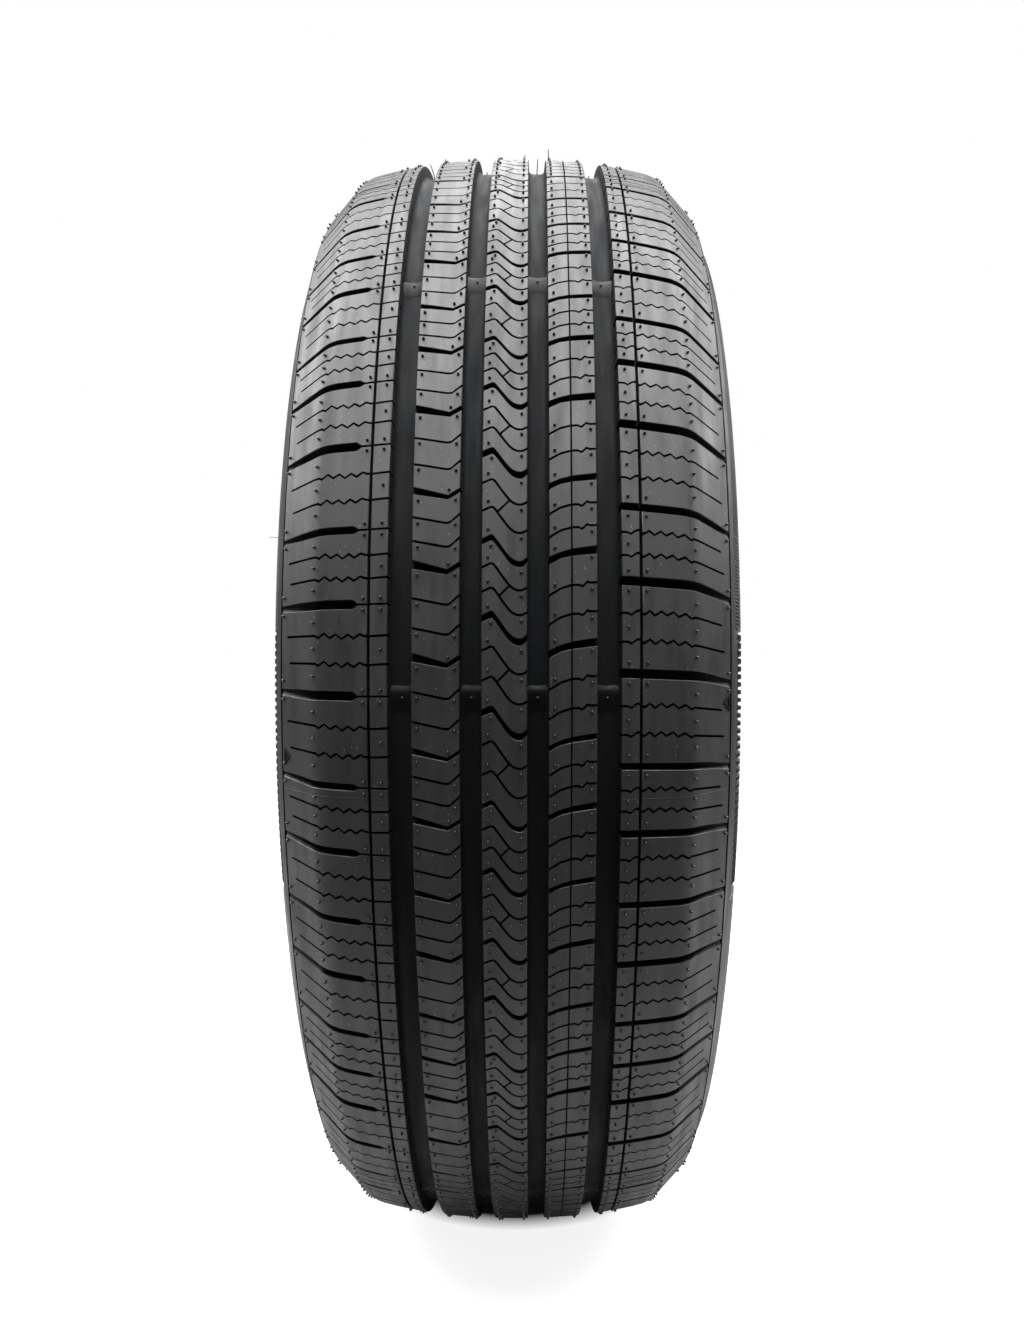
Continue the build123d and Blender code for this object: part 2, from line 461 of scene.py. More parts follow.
@dataclass
class Crown:
    """The tread's curve across the tyre, as slopes at distances from the middle plane.

    Between two distances the slope grows evenly, which makes an arc, and past the last it stays, which
    makes the straight buttress.

    Attributes:
        radius: Radius of the tread in the middle plane.
        round_radius: Radius at which distances round the tyre are measured.
        distances: Distances from the middle plane along the curve.
        slopes: Slopes there, in degrees.
        steps: Steps in which the slopes are added up.
    """

    radius: float = field(default_factory=lambda: frame_radius() - NUB_ROOM)
    round_radius: float = field(default_factory=frame_radius)
    distances: tuple[float, ...] = (0.0, 30.3, 80.0, 91.0, 130.0)
    slopes: tuple[float, ...] = (0.0, 3.8, 13.4, 46.0, 46.0)
    steps: int = 1300

    def __post_init__(self) -> None:
        """Adds up the slopes into the distance from the middle plane and the drop below the radius."""
        self.run = np.linspace(0, self.distances[-1], self.steps + 1)
        slope = self.slope(self.run)
        middle = slope[:-1] + np.diff(slope) / 2
        self.reach = np.concatenate([[0], np.cumsum(np.cos(middle) * self.run[1])])
        self.drop = np.concatenate([[0], np.cumsum(np.sin(middle) * self.run[1])])

    def slope(self, across: np.ndarray) -> np.ndarray:
        """Slope in radians at distances from the middle plane."""
        return np.interp(np.abs(across), self.distances, np.radians(self.slopes))

    def section(self, across: np.ndarray, depth: np.ndarray | float) -> tuple[np.ndarray, np.ndarray]:
        """Place in the section of points under the tread.

        The point moves from the surface against its normal: inwards by depth * sin(slope), and down by
        depth * cos(slope).

        Args:
            across: Signed distances from the middle plane along the curve.
            depth: Depths below the surface.

        Returns:
            Places along the axle, and radii.
        """
        slope = self.slope(across)
        reach = np.interp(np.abs(across), self.run, self.reach) - depth * np.sin(slope)
        drop = np.interp(np.abs(across), self.run, self.drop) + depth * np.cos(slope)
        return np.sign(across) * reach, self.radius - drop

    def place(self, across: np.ndarray, along: np.ndarray, depth: np.ndarray | float) -> np.ndarray:
        """Points on the tyre: the section turned about the axle by along / radius.

        Args:
            across: Signed distances across.
            along: Distances round, up at the front.
            depth: Depths below the surface.

        Returns:
            Points with a last axis of 3.
        """
        return turned(*self.section(across, depth), along / self.round_radius)

    def axes(self, across: np.ndarray, along: np.ndarray) -> Triple:
        """Unit directions at points of the tread: across it, round it and out of it.

        Args:
            across: Signed distances across.
            along: Distances round.

        Returns:
            The three directions, each with a last axis of 3.
        """
        lean = np.sign(across) * self.slope(across)
        turn = along / self.round_radius
        outward = turned(np.sin(lean), np.cos(lean), turn)
        sideways = turned(np.cos(lean), -np.sin(lean), turn)
        onward = np.stack([-np.sin(turn), np.zeros_like(turn), np.cos(turn)], axis=-1)
        return sideways, onward, outward


# The pitches: the tread's pattern repeats with five lengths


@dataclass
class Pitches:
    """The lengths of the tread's repeats round the tyre, in units that fill the whole round.

    Attributes:
        round_radius: Radius at which distances round the tyre are measured.
        first_along: Where the first pitch starts.
        run: Lengths of one run of pitches.
        runs: How often the run comes.
        close: Lengths of the pitches that close the round.
        longest: The length at which the grooves have their full width.
    """

    round_radius: float = field(default_factory=frame_radius)
    first_along: float = -334.5
    run: tuple[int, ...] = (8, 11, 11, 8, 8, 10, 9, 10, 9, 12, 12, 10, 12, 10, 8, 10, 8, 9, 11)
    runs: int = 3
    close: tuple[int, ...] = (10, 11, 10, 9, 10, 12, 10)
    longest: int = 12

    def __post_init__(self) -> None:
        """Works out where each pitch starts, its length, and how wide the groove at its start is."""
        units = np.array(self.run * self.runs + self.close, float)
        unit = 2 * pi * self.round_radius / units.sum()
        self.lengths = units * unit
        self.starts = self.first_along + np.concatenate([[0], np.cumsum(self.lengths)[:-1]])
        self.widths = np.roll(units, 1) / self.longest


# Lines cut into the ribs


# Limits of the ribs' grids: the run over which a sipe opens at its ends and the part of it that stays shut,
# the steepest slope squared that widens it, the least gap between columns, the room that they keep to a
# ring cut, a gap that tells columns in one place apart, and the least half width and bevel of a groove
SIPE_END = 0.4
SIPE_SHUT = 0.01
STEEPEST = 2.0
COLUMN_GAP = 0.15
RING_CLEAR = 0.05
TINY_GAP = 1e-6
LEAST_HALF = 0.5
LEAST_BEVEL = 0.06

# Shades of a groove's sloped and steep walls and of a sipe, which pick the rubber of painted groove shade as
# depths do
SLOPE_SHADE = 1.6
WALL_SHADE = 5.0
SIPE_SHADE = 6.0

# Distances across between which the sipes get shallower, and their depth past them
SHALLOW_RUN = (100.0, 110.0)
SHALLOW_DEPTH = 3.0


@dataclass(frozen=True)
class Groove:
    """A cross groove: its edges as (across, upper, lower) from the pitch's start, on the longest pitch.

    Further out than slope_from, its lower wall turns into a slope that is a good part of the groove's width.

    Attributes:
        edges: The two edges.
        floor: Depth of the floor, as (across, depth).
        chamfer: Bevel of the edges.
        inset: How far the walls' feet stand in from the edges.
        foot_share: Least share of the half width that is left between the feet.
        slope_from: Distance across where the slope starts.
        slope_run: Distance over which it grows.
        slope_share: Share of the half width that it takes in the end.
        slope_power: Power with which it grows.
        slope_least: Share of the run past which it gets the slope's rubber of painted shade.
    """

    edges: tuple[tuple[float, float, float], ...]
    floor: tuple[tuple[float, float], ...] = ((0.0, 7.0),)
    chamfer: float = 0.24
    inset: float = 0.25
    foot_share: float = 0.6
    slope_from: float = 200.0
    slope_run: float = 25.0
    slope_share: float = 0.95
    slope_power: float = 0.7
    slope_least: float = 0.08


@dataclass(frozen=True)
class Sipe:
    """A thin cut across a rib.

    Attributes:
        line: Its middle, as (across, along) from its own start.
        share: Share of the pitch's length at which it starts.
        width: Width of the cut.
        depth: Depth of the cut.
        open_from: Distance across where it opens.
        open_to: Distance across where it is shut again.
    """

    line: tuple[tuple[float, float], ...]
    share: float
    width: float = 1.12
    depth: float = 5.0
    open_from: float = -200.0
    open_to: float = 200.0


@dataclass(frozen=True)
class Tie:
    """A short straight cut that slants from one sipe up to the next.

    Attributes:
        start: Distance across where its columns begin.
        end: Distance across where it meets the upper sipe.
        past: How far its columns go on past that.
        columns: Number of its columns.
        climb: Rise along for a step across.
        width: Width of the cut.
        depth: Depth of the cut.
        land: The thinnest wall that is left between it and a sipe.
    """

    start: float
    end: float
    past: float = 0.6
    columns: int = 21
    climb: float = 1.0
    width: float = 1.0
    depth: float = 5.0
    land: float = 0.12


@dataclass(frozen=True)
class RingCut:
    """A thin groove round the whole rib.

    Attributes:
        across: Distance across of its middle.
        width: Width of the groove.
        depth: Depth of the groove.
        chamfer: Bevel of its edges.
    """

    across: float
    width: float
    depth: float = 4.0
    chamfer: float = 0.25


@dataclass
class Rib:
    """One rib of the tread, a closed ring cut by a groove, sipes and ring cuts on every pitch.

    Rows of the grid follow the cuts' edges and columns lie across the rib, so each point is at
    (across of its column, along of its row there), and its depth is the larger of its row's and its column's.

    Attributes:
        name: Name of the piece.
        crown: The tread's curve.
        pitches: The tread's repeats.
        low_edge: Distance across of the left edge.
        high_edge: Distance across of the right edge.
        offset: Distance along from the pitch's start to the cuts' zero.
        groove: The cross groove.
        sipes: The sipes, in order along.
        rings: The ring cuts.
        tie: The cut between the sipes, if there is one.
        root_depth: Depth of the side walls' feet.
        edge_chamfer: Bevel of the long edges.
        draft: How far the side walls' feet stand out.
        step: Widest gap between columns.
    """

    name: str
    crown: Crown
    pitches: Pitches
    low_edge: float
    high_edge: float
    offset: float
    groove: Groove
    sipes: tuple[Sipe, ...]
    rings: tuple[RingCut, ...] = ()
    tie: Tie | None = None
    root_depth: float = 9.0
    edge_chamfer: float = 0.35
    draft: float = 0.5
    step: float = 7.0

    def columns(self) -> tuple[np.ndarray, np.ndarray]:
        """Columns across the rib: both side walls, the ring cuts' walls and the corners of every cut's line.

        Returns:
            Distances across, in order, and the depth that each column has by itself.
        """
        low, high, bevel = self.low_edge, self.high_edge, self.edge_chamfer
        walls = [(low - self.draft, self.root_depth), (low, bevel), (low + bevel, 0.0)]
        walls += [(high - bevel, 0.0), (high, bevel), (high + self.draft, self.root_depth)]
        kept_clear = []
        for ring in self.rings:
            half = ring.width / 2
            lip = half + ring.chamfer
            sides = [(-lip, 0.0), (-half, ring.chamfer), (-half, ring.depth)]
            sides += [(half, ring.depth), (half, ring.chamfer), (lip, 0.0)]
            walls += [(ring.across + side, depth) for side, depth in sides]
            kept_clear.append((ring.across - lip, ring.across + lip))
        corners = [point[0] for point in self.groove.edges]
        corners += [across for across, _ in self.groove.floor]
        for sipe in self.sipes:
            corners += [point[0] for point in sipe.line]
            corners += [sipe.open_from, sipe.open_from + SIPE_END, sipe.open_to - SIPE_END, sipe.open_to]
        if self.tie:
            corners += np.linspace(self.tie.start, self.tie.end + self.tie.past, self.tie.columns).tolist()
        corners += list(np.arange(low, high, self.step))
        inside = [
            across
            for across in corners
            if low + 2 * bevel < across < high - 2 * bevel
            and not any(start - RING_CLEAR < across < end + RING_CLEAR for start, end in kept_clear)
        ]
        free = np.unique(np.round(inside, 2))
        free = free[np.concatenate([[True], np.diff(free) > COLUMN_GAP])]
        across = np.concatenate([[wall[0] for wall in walls], free])
        depth = np.concatenate([[wall[1] for wall in walls], np.zeros(len(free))])
        order = np.lexsort((np.arange(len(across)), np.round(across, 4)))
        return across[order], depth[order]

    def groove_rows(self, across: np.ndarray) -> Triple:
        """Rows of the cross groove on every pitch: lip, wall and floor on both sides.

        The edges are middle -/+ half width, and the half width grows with the pitch below the groove.

        Args:
            across: Distances across of the columns.

        Returns:
            Distances round of shape (pitches, 6, columns), and depths and shades of shape (6, columns).
        """
        groove = self.groove
        places, upper, lower = np.array(groove.edges).T
        middle = np.interp(across, places, (upper + lower) / 2)
        half = np.interp(across, places, (upper - lower) / 2)
        floor = np.interp(across, *np.array(groove.floor).T)
        bevel = np.clip(np.minimum(floor, half) - LEAST_HALF, LEAST_BEVEL, groove.chamfer)
        half = np.maximum(half * self.pitches.widths[:, None], LEAST_HALF)
        foot = np.maximum(half - groove.inset, groove.foot_share * half)
        centre = self.pitches.starts[:, None] + self.offset + middle
        out = np.clip((np.abs(across) - groove.slope_from) / groove.slope_run, 0, 1)
        low_foot = foot * (1 - groove.slope_share * out**groove.slope_power)
        along = [centre - half - bevel, centre - half, centre - low_foot]
        along += [centre + foot, centre + half, centre + half + bevel]
        zero = np.zeros_like(floor)
        depth = [zero, bevel, floor, floor, bevel, zero]
        slope = np.where(out > groove.slope_least, SLOPE_SHADE, floor)
        shade = [zero, bevel, slope, np.maximum(floor, WALL_SHADE), bevel, zero]
        return np.stack(along, axis=1), np.stack(depth), np.stack(shade)

    def sipe_line(self, sipe: Sipe, across: np.ndarray) -> np.ndarray:
        """Middle of a sipe on every pitch: its own start, a share of the pitch's length on, plus its line.

        Args:
            sipe: The sipe.
            across: Distances across of the columns.

        Returns:
            Distances round of shape (pitches, columns).
        """
        places, along = np.array(sipe.line).T
        start = self.pitches.starts + self.offset + sipe.share * self.pitches.lengths
        return start[:, None] + np.interp(across, places, along)[None]

    def sipe_half(self, sipe: Sipe, across: np.ndarray) -> np.ndarray:
        """Half width of a sipe measured along: width / 2 * sqrt(1 + slope squared), none past its ends.

        Args:
            sipe: The sipe.
            across: Distances across of the columns.

        Returns:
            Half widths, one for each column.
        """
        ordered = np.maximum.accumulate(across + TINY_GAP * np.arange(len(across)))
        steep = np.gradient(np.interp(across, *np.array(sipe.line).T), ordered)
        half = sipe.width / 2 * np.sqrt(1 + np.minimum(steep**2, STEEPEST))
        shut = (across < sipe.open_from + SIPE_SHUT) | (across > sipe.open_to - SIPE_SHUT)
        return np.where(shut, 0.0, half)

    def sipe_rows(self, sipe: Sipe, across: np.ndarray) -> Triple:
        """Rows of a sipe on every pitch: edge, foot, foot and edge.

        Args:
            sipe: The sipe.
            across: Distances across of the columns.

        Returns:
            Distances round of shape (pitches, 4, columns), and depths and shades of shape (4, columns).
        """
        line, half = self.sipe_line(sipe, across), self.sipe_half(sipe, across)
        depth = np.interp(np.abs(across), SHALLOW_RUN, (sipe.depth, SHALLOW_DEPTH))
        depth = np.where(half > 0, depth, 0.0)
        zero = np.zeros_like(depth)
        along = np.stack([line - half, line - half, line + half, line + half], axis=1)
        shade = np.where(depth > 0, SIPE_SHADE, 0.0)
        return along, np.stack([zero, depth, depth, zero]), np.stack([zero, shade, shade, zero])

    def tied_rows(self, lower: Sipe, upper: Sipe, across: np.ndarray) -> Triple:
        """Rows of two sipes with the slanting cut between them.

        The cut falls evenly from the upper sipe's middle at its end, middle(end) - climb * (end - across),
        until it meets the lower sipe. Where it runs into a sipe, the wall between them goes down to the
        floor, and outside the gap between the sipes it lies shut on one of them.

        Args:
            lower: The sipe that it starts on.
            upper: The sipe that it ends on.
            across: Distances across of the columns.

        Returns:
            Distances round, depths and shades, each of shape (pitches, 12, columns).
        """
        tie = self.tie
        below, above = self.sipe_rows(lower, across), self.sipe_rows(upper, across)
        bottom, top = below[0][:, -1], above[0][:, 0]
        middle = self.sipe_line(upper, np.full(1, tie.end)) - tie.climb * (tie.end - across)
        half = tie.width / 2 * np.sqrt(1 + tie.climb**2)
        low, high = np.clip([middle - half, middle + half], bottom, top)
        low = np.where(low - bottom < tie.land, bottom, low)
        high = np.where(top - high < tie.land, top, high)
        cut = high - low > tie.land
        high = np.where(cut, high, low)
        deep = np.where(cut, tie.depth, 0.0)
        zero = np.zeros_like(deep)
        rows = np.stack([zero, deep, deep, zero], axis=1)
        slant = np.stack([low, low, high, high], axis=1)
        along, depth, shade = self.join_rows([below, (slant, rows, rows), above])
        lower_wall, upper_wall = slice(3, 5), slice(7, 9)
        for wall, joined in ((lower_wall, cut & (low == bottom)), (upper_wall, cut & (high == top))):
            for part in (depth, shade):
                part[:, wall] = np.where(joined[:, None], tie.depth, part[:, wall])
        return along, depth, shade

    @staticmethod
    def join_rows(cuts: list[Triple]) -> Triple:
        """Rows of cuts in order round the tyre: distances, depths and shades, all on one shape."""
        along, depth, shade = zip(*(np.broadcast_arrays(*cut) for cut in cuts))
        return np.concatenate(along, axis=1), np.concatenate(depth, axis=1), np.concatenate(shade, axis=1)

    def build(self) -> None:
        """Makes the rib: every row of every pitch, in order round the tyre, closed underneath."""
        across, column_depth = self.columns()
        cuts = [self.groove_rows(across)]
        if self.tie:
            cuts.append(self.tied_rows(*self.sipes, across))
        else:
            cuts += [self.sipe_rows(sipe, across) for sipe in self.sipes]
        along, depth, shade = self.join_rows(cuts)
        points = self.crown.place(across, along, np.maximum(depth, column_depth)).reshape(-1, 3)
        # Shades pick where the rubbers of painted groove shade go
        shade = np.maximum(shade, column_depth).reshape(-1)
        rows = along.shape[0] * along.shape[1]
        first, points, faces = weld(points, ring_quads(rows, len(across)))
        make_piece(self.name, points, faces, shade[first])


# The tread pattern, rib by rib from the left shoulder


# Lines of the sipes and of the centre rib's waves, as (across, along) from the cut's own start. The waves'
# sipes and grooves share all but their right ends, and are smoothed by WAVE_STEPS pieces between two points
LEFT_SIPE = (
    (-109.0, 2.7), (-87.0, 1.1), (-85.3, 0.0), (-82.0, 1.9), (-79.2, -0.3), (-76.3, 1.3), (-73.5, -0.9),
    (-70.6, 1.1), (-68.0, -0.8), (-65.0, 1.1), (-63.0, 0.2), (-60.5, 0.0), (-52.5, 0.4),
)
CHEVRON_SIPE = ((-41.4, 0.0), (-26.5, -3.2), (-24.5, -3.0), (-20.0, 1.0))
WAVE_POINTS = [
    (-10.1, -1.75), (-8.2, -0.95), (-6.9, -0.28), (-5.9, -0.02), (-5.0, -0.35), (-3.9, -1.6), (-1.8, -4.6),
    (0.9, -8.4), (2.4, -10.2), (3.8, -11.35), (5.2, -12.05), (6.7, -12.3),
]
SIPE_END_POINTS = [(8.2, -12.05), (10.1, -11.0)]
GROOVE_END_POINTS = [(8.2, -11.95), (10.1, -10.3)]
WAVE_STEPS = 3
BENT_SIPE = (
    (20.0, 0.0), (25.0, 3.2), (30.0, 4.8), (33.0, 5.0), (34.5, 4.3), (35.5, 5.0), (36.8, 6.5), (38.5, 6.0),
    (41.4, 6.3),
)
RIGHT_SIPE = (
    (52.5, 0.0), (55.0, 0.0), (56.7, -0.8), (59.0, 1.0), (60.3, 1.2), (62.3, -0.5), (63.5, 0.0), (65.0, 1.2),
    (67.5, -0.8), (70.5, 1.2), (73.0, -0.6), (76.0, 1.0), (78.5, -1.1), (81.8, 0.5), (85.0, -1.6),
    (87.0, -0.8), (109.0, -2.4),
)


@dataclass
class Tread:
    """The five ribs of the tread with the moulding nubs that stand on them.

    Attributes:
        crown: The tread's curve.
        pitches: The tread's repeats.
        edge_line: Distance across of the tread's edges.
        shoulder_edge: Distance across of the shoulders' inner edges.
        middle_edges: Distances across of the edges of the ribs beside the middle.
        centre_edge: Distance across of the centre rib's edges.
        middle_offset: Distance along from a pitch's start to the cuts of the ribs beside the middle.
        centre_offset: The same for the centre rib.
        right_offset: The same for the right shoulder.
        wave_width: Width along of the centre rib's groove.
        nub_radius: Radius of a nub's foot.
        nub_taper: Share of it that is left at the top.
        nub_height: Height of a nub over the tread.
        nub_least: Least height with the foot.
        nub_levels: Rings of points on a nub.
    """

    crown: Crown
    pitches: Pitches
    edge_line: float = 113.5
    shoulder_edge: float = 52.5
    middle_edges: tuple[float, float] = (20.0, 41.4)
    centre_edge: float = 10.1
    middle_offset: float = 17.7
    centre_offset: float = -5.6
    right_offset: float = 10.4
    wave_width: float = 3.2
    nub_radius: float = 0.74
    nub_taper: float = 0.3
    nub_height: float = 1.4
    nub_least: float = 0.4
    nub_levels: int = 4

    def left_shoulder(self) -> Rib:
        """The left shoulder: grooves shut before the main groove, and zigzag sipes.

        Returns:
            The rib.
        """
        groove = Groove(
            edges=(
                (-113.5, 4.3, 1.2), (-112.0, 4.2, 1.0), (-100.0, 3.8, -0.4), (-90.0, 3.0, -1.4),
                (-68.6, 2.3, -2.0), (-66.2, 0.5, -0.5), (-52.5, 0.5, -0.5),
            ),
            floor=(
                (-113.5, 1.0), (-104.0, 2.0), (-96.0, 3.2), (-91.0, 4.4), (-86.0, 6.2), (-82.0, 7.0),
                (-66.4, 7.0), (-65.8, 5.0),
            ),
            slope_from=88.0,
        )
        sipes = (Sipe(LEFT_SIPE, 0.34, open_from=-107.0), Sipe(LEFT_SIPE, 0.65, open_from=-109.0))
        ring = RingCut(-61.1, 1.3)
        return Rib("left_shoulder_rib", self.crown, self.pitches, -self.edge_line, -self.shoulder_edge, 0.0,
                   groove, sipes, (ring,))

    def chevron(self) -> Rib:
        """The rib left of the middle, with chevron grooves and sipes.

        Returns:
            The rib.
        """
        groove = Groove(edges=((-41.4, 2.0, -2.1), (-25.5, -2.8, -5.1), (-20.0, 0.8, -1.8)))
        sipes = (Sipe(CHEVRON_SIPE, 0.31), Sipe(CHEVRON_SIPE, 0.63))
        low, high = self.middle_edges
        return Rib("chevron_rib", self.crown, self.pitches, -high, -low, self.middle_offset, groove, sipes)

    def centre(self) -> Rib:
        """The centre rib: waves from edge to edge, with a short tie between the two sipes.

        Returns:
            The rib.
        """
        thin, wide = (
            tuple(map(tuple, smooth_line(WAVE_POINTS + end, WAVE_STEPS).tolist()))
            for end in (SIPE_END_POINTS, GROOVE_END_POINTS)
        )
        half = self.wave_width / 2
        groove = Groove(edges=tuple((across, along + half, along - half) for across, along in wide))
        sipes = (Sipe(thin, 0.343), Sipe(thin, 0.66))
        return Rib("centre_rib", self.crown, self.pitches, -self.centre_edge, self.centre_edge,
                   self.centre_offset, groove, sipes, tie=Tie(-2.8, 2.3))

    def bent(self) -> Rib:
        """The rib right of the middle: rising grooves, sipes with a kink, and a fine ring cut.

        Returns:
            The rib.
        """
        groove = Groove(edges=((20.0, 2.9, -0.6), (25.0, 5.1, 2.2), (30.0, 6.7, 3.4), (41.4, 8.6, 4.9)))
        sipes = (Sipe(BENT_SIPE, 0.34), Sipe(BENT_SIPE, 0.65))
        low, high = self.middle_edges
        ring = RingCut(30.0, 0.65, chamfer=0.15)
        return Rib("bent_rib", self.crown, self.pitches, low, high, self.middle_offset, groove, sipes,
                   (ring,))

    def right_shoulder(self) -> Rib:
        """The right shoulder: grooves open to the main groove, and zigzag sipes.

        Returns:
            The rib.
        """
        groove = Groove(
            edges=(
                (52.5, 2.2, -2.1), (55.0, 2.2, -2.1), (90.0, 1.4, -3.1), (100.0, 0.4, -3.9),
                (112.0, -1.4, -5.4), (113.5, -1.6, -5.6),
            ),
            floor=(
                (52.5, 7.0), (82.0, 7.0), (86.0, 6.2), (91.0, 4.4), (96.0, 3.2), (104.0, 2.0), (113.5, 1.0),
            ),
            slope_from=88.0,
        )
        sipes = (Sipe(RIGHT_SIPE, 0.34, open_to=109.0), Sipe(RIGHT_SIPE, 0.65, open_to=107.0))
        ring = RingCut(61.3, 1.3)
        return Rib("right_shoulder_rib", self.crown, self.pitches, self.shoulder_edge, self.edge_line,
                   self.right_offset, groove, sipes, (ring,))

    def nub_places(self) -> tuple[np.ndarray, np.ndarray]:
        """Places of the nubs on every pitch, from lists of (across, share of the pitch, shift along).

        Returns:
            Distances across and along, one for each nub.
        """
        left = [(-63.5, 0, 3.0), (-63.5, 0, -2.4), (-55.4, 0, 3.0), (-55.4, 0, -2.4), (-55.3, 0.51, 0)]
        left += [(-88.3, share, 0) for share in (0.23, 0.535, 0.83)]
        left += [(-111.6, 0, 8.4), (-111.6, 0, -0.9)]
        chevron = [(-39.0, 0, -5.0), (-39.0, 0.31, -2.9), (-39.0, 0.63, -2.9)]
        chevron += [(-22.0, 0, -5.2), (-22.0, 0.31, -3.9), (-22.0, 0.63, -3.9), (-25.0, 0, -0.2)]
        centre = [(-7.4, 0, 3.9), (-7.4, 0.343, 3.0), (-7.4, 0.66, 3.0), (-6.0, 0, -3.7)]
        centre += [(7.5, 0, -16.0), (7.5, 0.343, -14.7), (7.5, 0.66, -14.7)]
        bent = [(22.5, 0, 7.1), (22.5, 0.34, 4.8), (22.5, 0.65, 4.8)]
        bent += [(39.0, 0, 3.2), (39.0, 0.34, 3.3), (39.0, 0.65, 3.3)]
        right = [(55.5, 0, 5.1), (55.5, 0, -4.2), (64.0, 0, 5.1), (64.0, 0, -4.2), (55.4, 0.5, 0)]
        right += [(87.7, share, 0) for share in (0.19, 0.48, 0.78)]
        right += [(111.6, 0, 1.5), (111.6, 0, -7.2)]
        ribs = (
            (left, 0.0), (chevron, self.middle_offset), (centre, self.centre_offset),
            (bent, self.middle_offset), (right, self.right_offset),
        )
        across, share, shift = np.array(
            [(across, share, shift + offset) for marks, offset in ribs for across, share, shift in marks]
        ).T
        along = self.pitches.starts[:, None] + share * self.pitches.lengths[:, None] + shift
        return np.broadcast_to(across, along.shape).reshape(-1), along.reshape(-1)

    def build_nubs(self) -> None:
        """Makes the nubs, small domes, each lower where it would pass the tyre's box.

        The room over a foot is the way out to the box, the nearer of wide / cosine and tall / sine of its
        angle, less the foot's distance from the axle.
        """
        across, along = self.nub_places()
        base = self.crown.place(across, along, FOOT)
        turn = along / self.crown.round_radius
        wide, _, tall = frame_reach() - NUB_CLEAR
        cosine, sine = np.maximum(np.abs([np.cos(turn), np.sin(turn)]), LEAST_COSINE)
        room = np.minimum(wide / cosine, tall / sine) - np.hypot(base[:, 0], base[:, 2])
        height = np.clip(room, self.nub_least, self.nub_height + FOOT)
        domes = studs(base, self.crown.axes(across, along), height, self.nub_radius,
                      self.nub_radius * self.nub_taper, levels=self.nub_levels, swell=DOME)
        make_piece("moulding_nubs", *domes, outer=NUB_RUBBER, sharp=75.0)

    def build(self) -> None:
        """Makes the five ribs and the nubs."""
        for rib in (self.left_shoulder(), self.chevron(), self.centre(), self.bent(), self.right_shoulder()):
            rib.build()
        self.build_nubs()


# Small forms on the tread and in its grooves


@dataclass
class WearBars:
    """Low bars across the main grooves: a flat top with a slope at each end, and a nib in the middle.

    Attributes:
        crown: The tread's curve.
        grooves: Edges of the main grooves.
        places: Middles of the bars, measured round the tyre.
        profile: Section of a bar as (along, depth) in the groove's middle, closed under its floor.
        hollow: How far a bar rises from there to the groove's walls, with the square of the distance.
        stations: Steps across a bar.
        nib_radius: Radius of a nib's foot.
        nib_top: Radius of its top.
        nib_depth: Depth of its foot.
        nib_height: Height of a nib.
        nib_levels: Rings of points on a nib.
    """

    crown: Crown
    grooves: tuple[tuple[float, float], ...] = ((-52.5, -41.4), (-20.0, -10.1), (10.1, 20.0), (41.4, 52.5))
    places: tuple[float, ...] = (1.0, 225.0, 500.0, 790.0, 1080.0, 1370.0, 1630.0, 1859.0)
    profile: tuple[tuple[float, float], ...] = (
        (-9.0, 9.2), (-6.0, 7.8), (-3.5, 7.0), (-1.0, 6.65), (1.5, 6.55), (3.0, 6.7), (4.2, 7.1), (5.4, 7.8),
        (6.8, 9.2))
    hollow: float = 1.3
    stations: int = 11
    nib_radius: float = 0.55
    nib_top: float = 0.4
    nib_depth: float = 6.4
    nib_height: float = 0.8
    nib_levels: int = 3

    def build(self) -> None:
        """Makes the bars, whose ends lie inside the ribs, and their nibs.

        At a share of the half width from the groove's middle, a bar's depth is that of its profile less
        hollow * share squared.
        """
        low, high = np.array(self.grooves).T
        centre = (low + high) / 2
        share = np.linspace(-1, 1, self.stations)
        across = centre[:, None] + ((high - low) / 2 + FOOT)[:, None] * share
        along, depth = np.array(self.profile).T
        depth = depth - self.hollow * share[:, None] ** 2
        along = np.array(self.places)[:, None, None, None] + along
        points = self.crown.place(across[:, :, None], along, depth)
        points = points.reshape(-1, *points.shape[2:])
        faces = bars(points, np.zeros(len(points), bool))
        # The bars' near-black rubber paints the grooves' shade on them
        make_piece("wear_bars", points, faces, outer=BAR_PAINTED_SHADE, sharp=60.0)

        along, across = (part.reshape(-1) for part in np.meshgrid(self.places, centre))
        base = self.crown.place(across, along, self.nib_depth)
        height = np.full_like(along, self.nib_height)
        nibs = studs(base, self.crown.axes(across, along), height, self.nib_radius, self.nib_top,
                     levels=self.nib_levels, swell=DOME)
        # The nibs' paler rubber paints their glint
        make_piece("wear_bar_nibs", *nibs, outer=PALE_PAINTED_LIGHT, sharp=75.0)


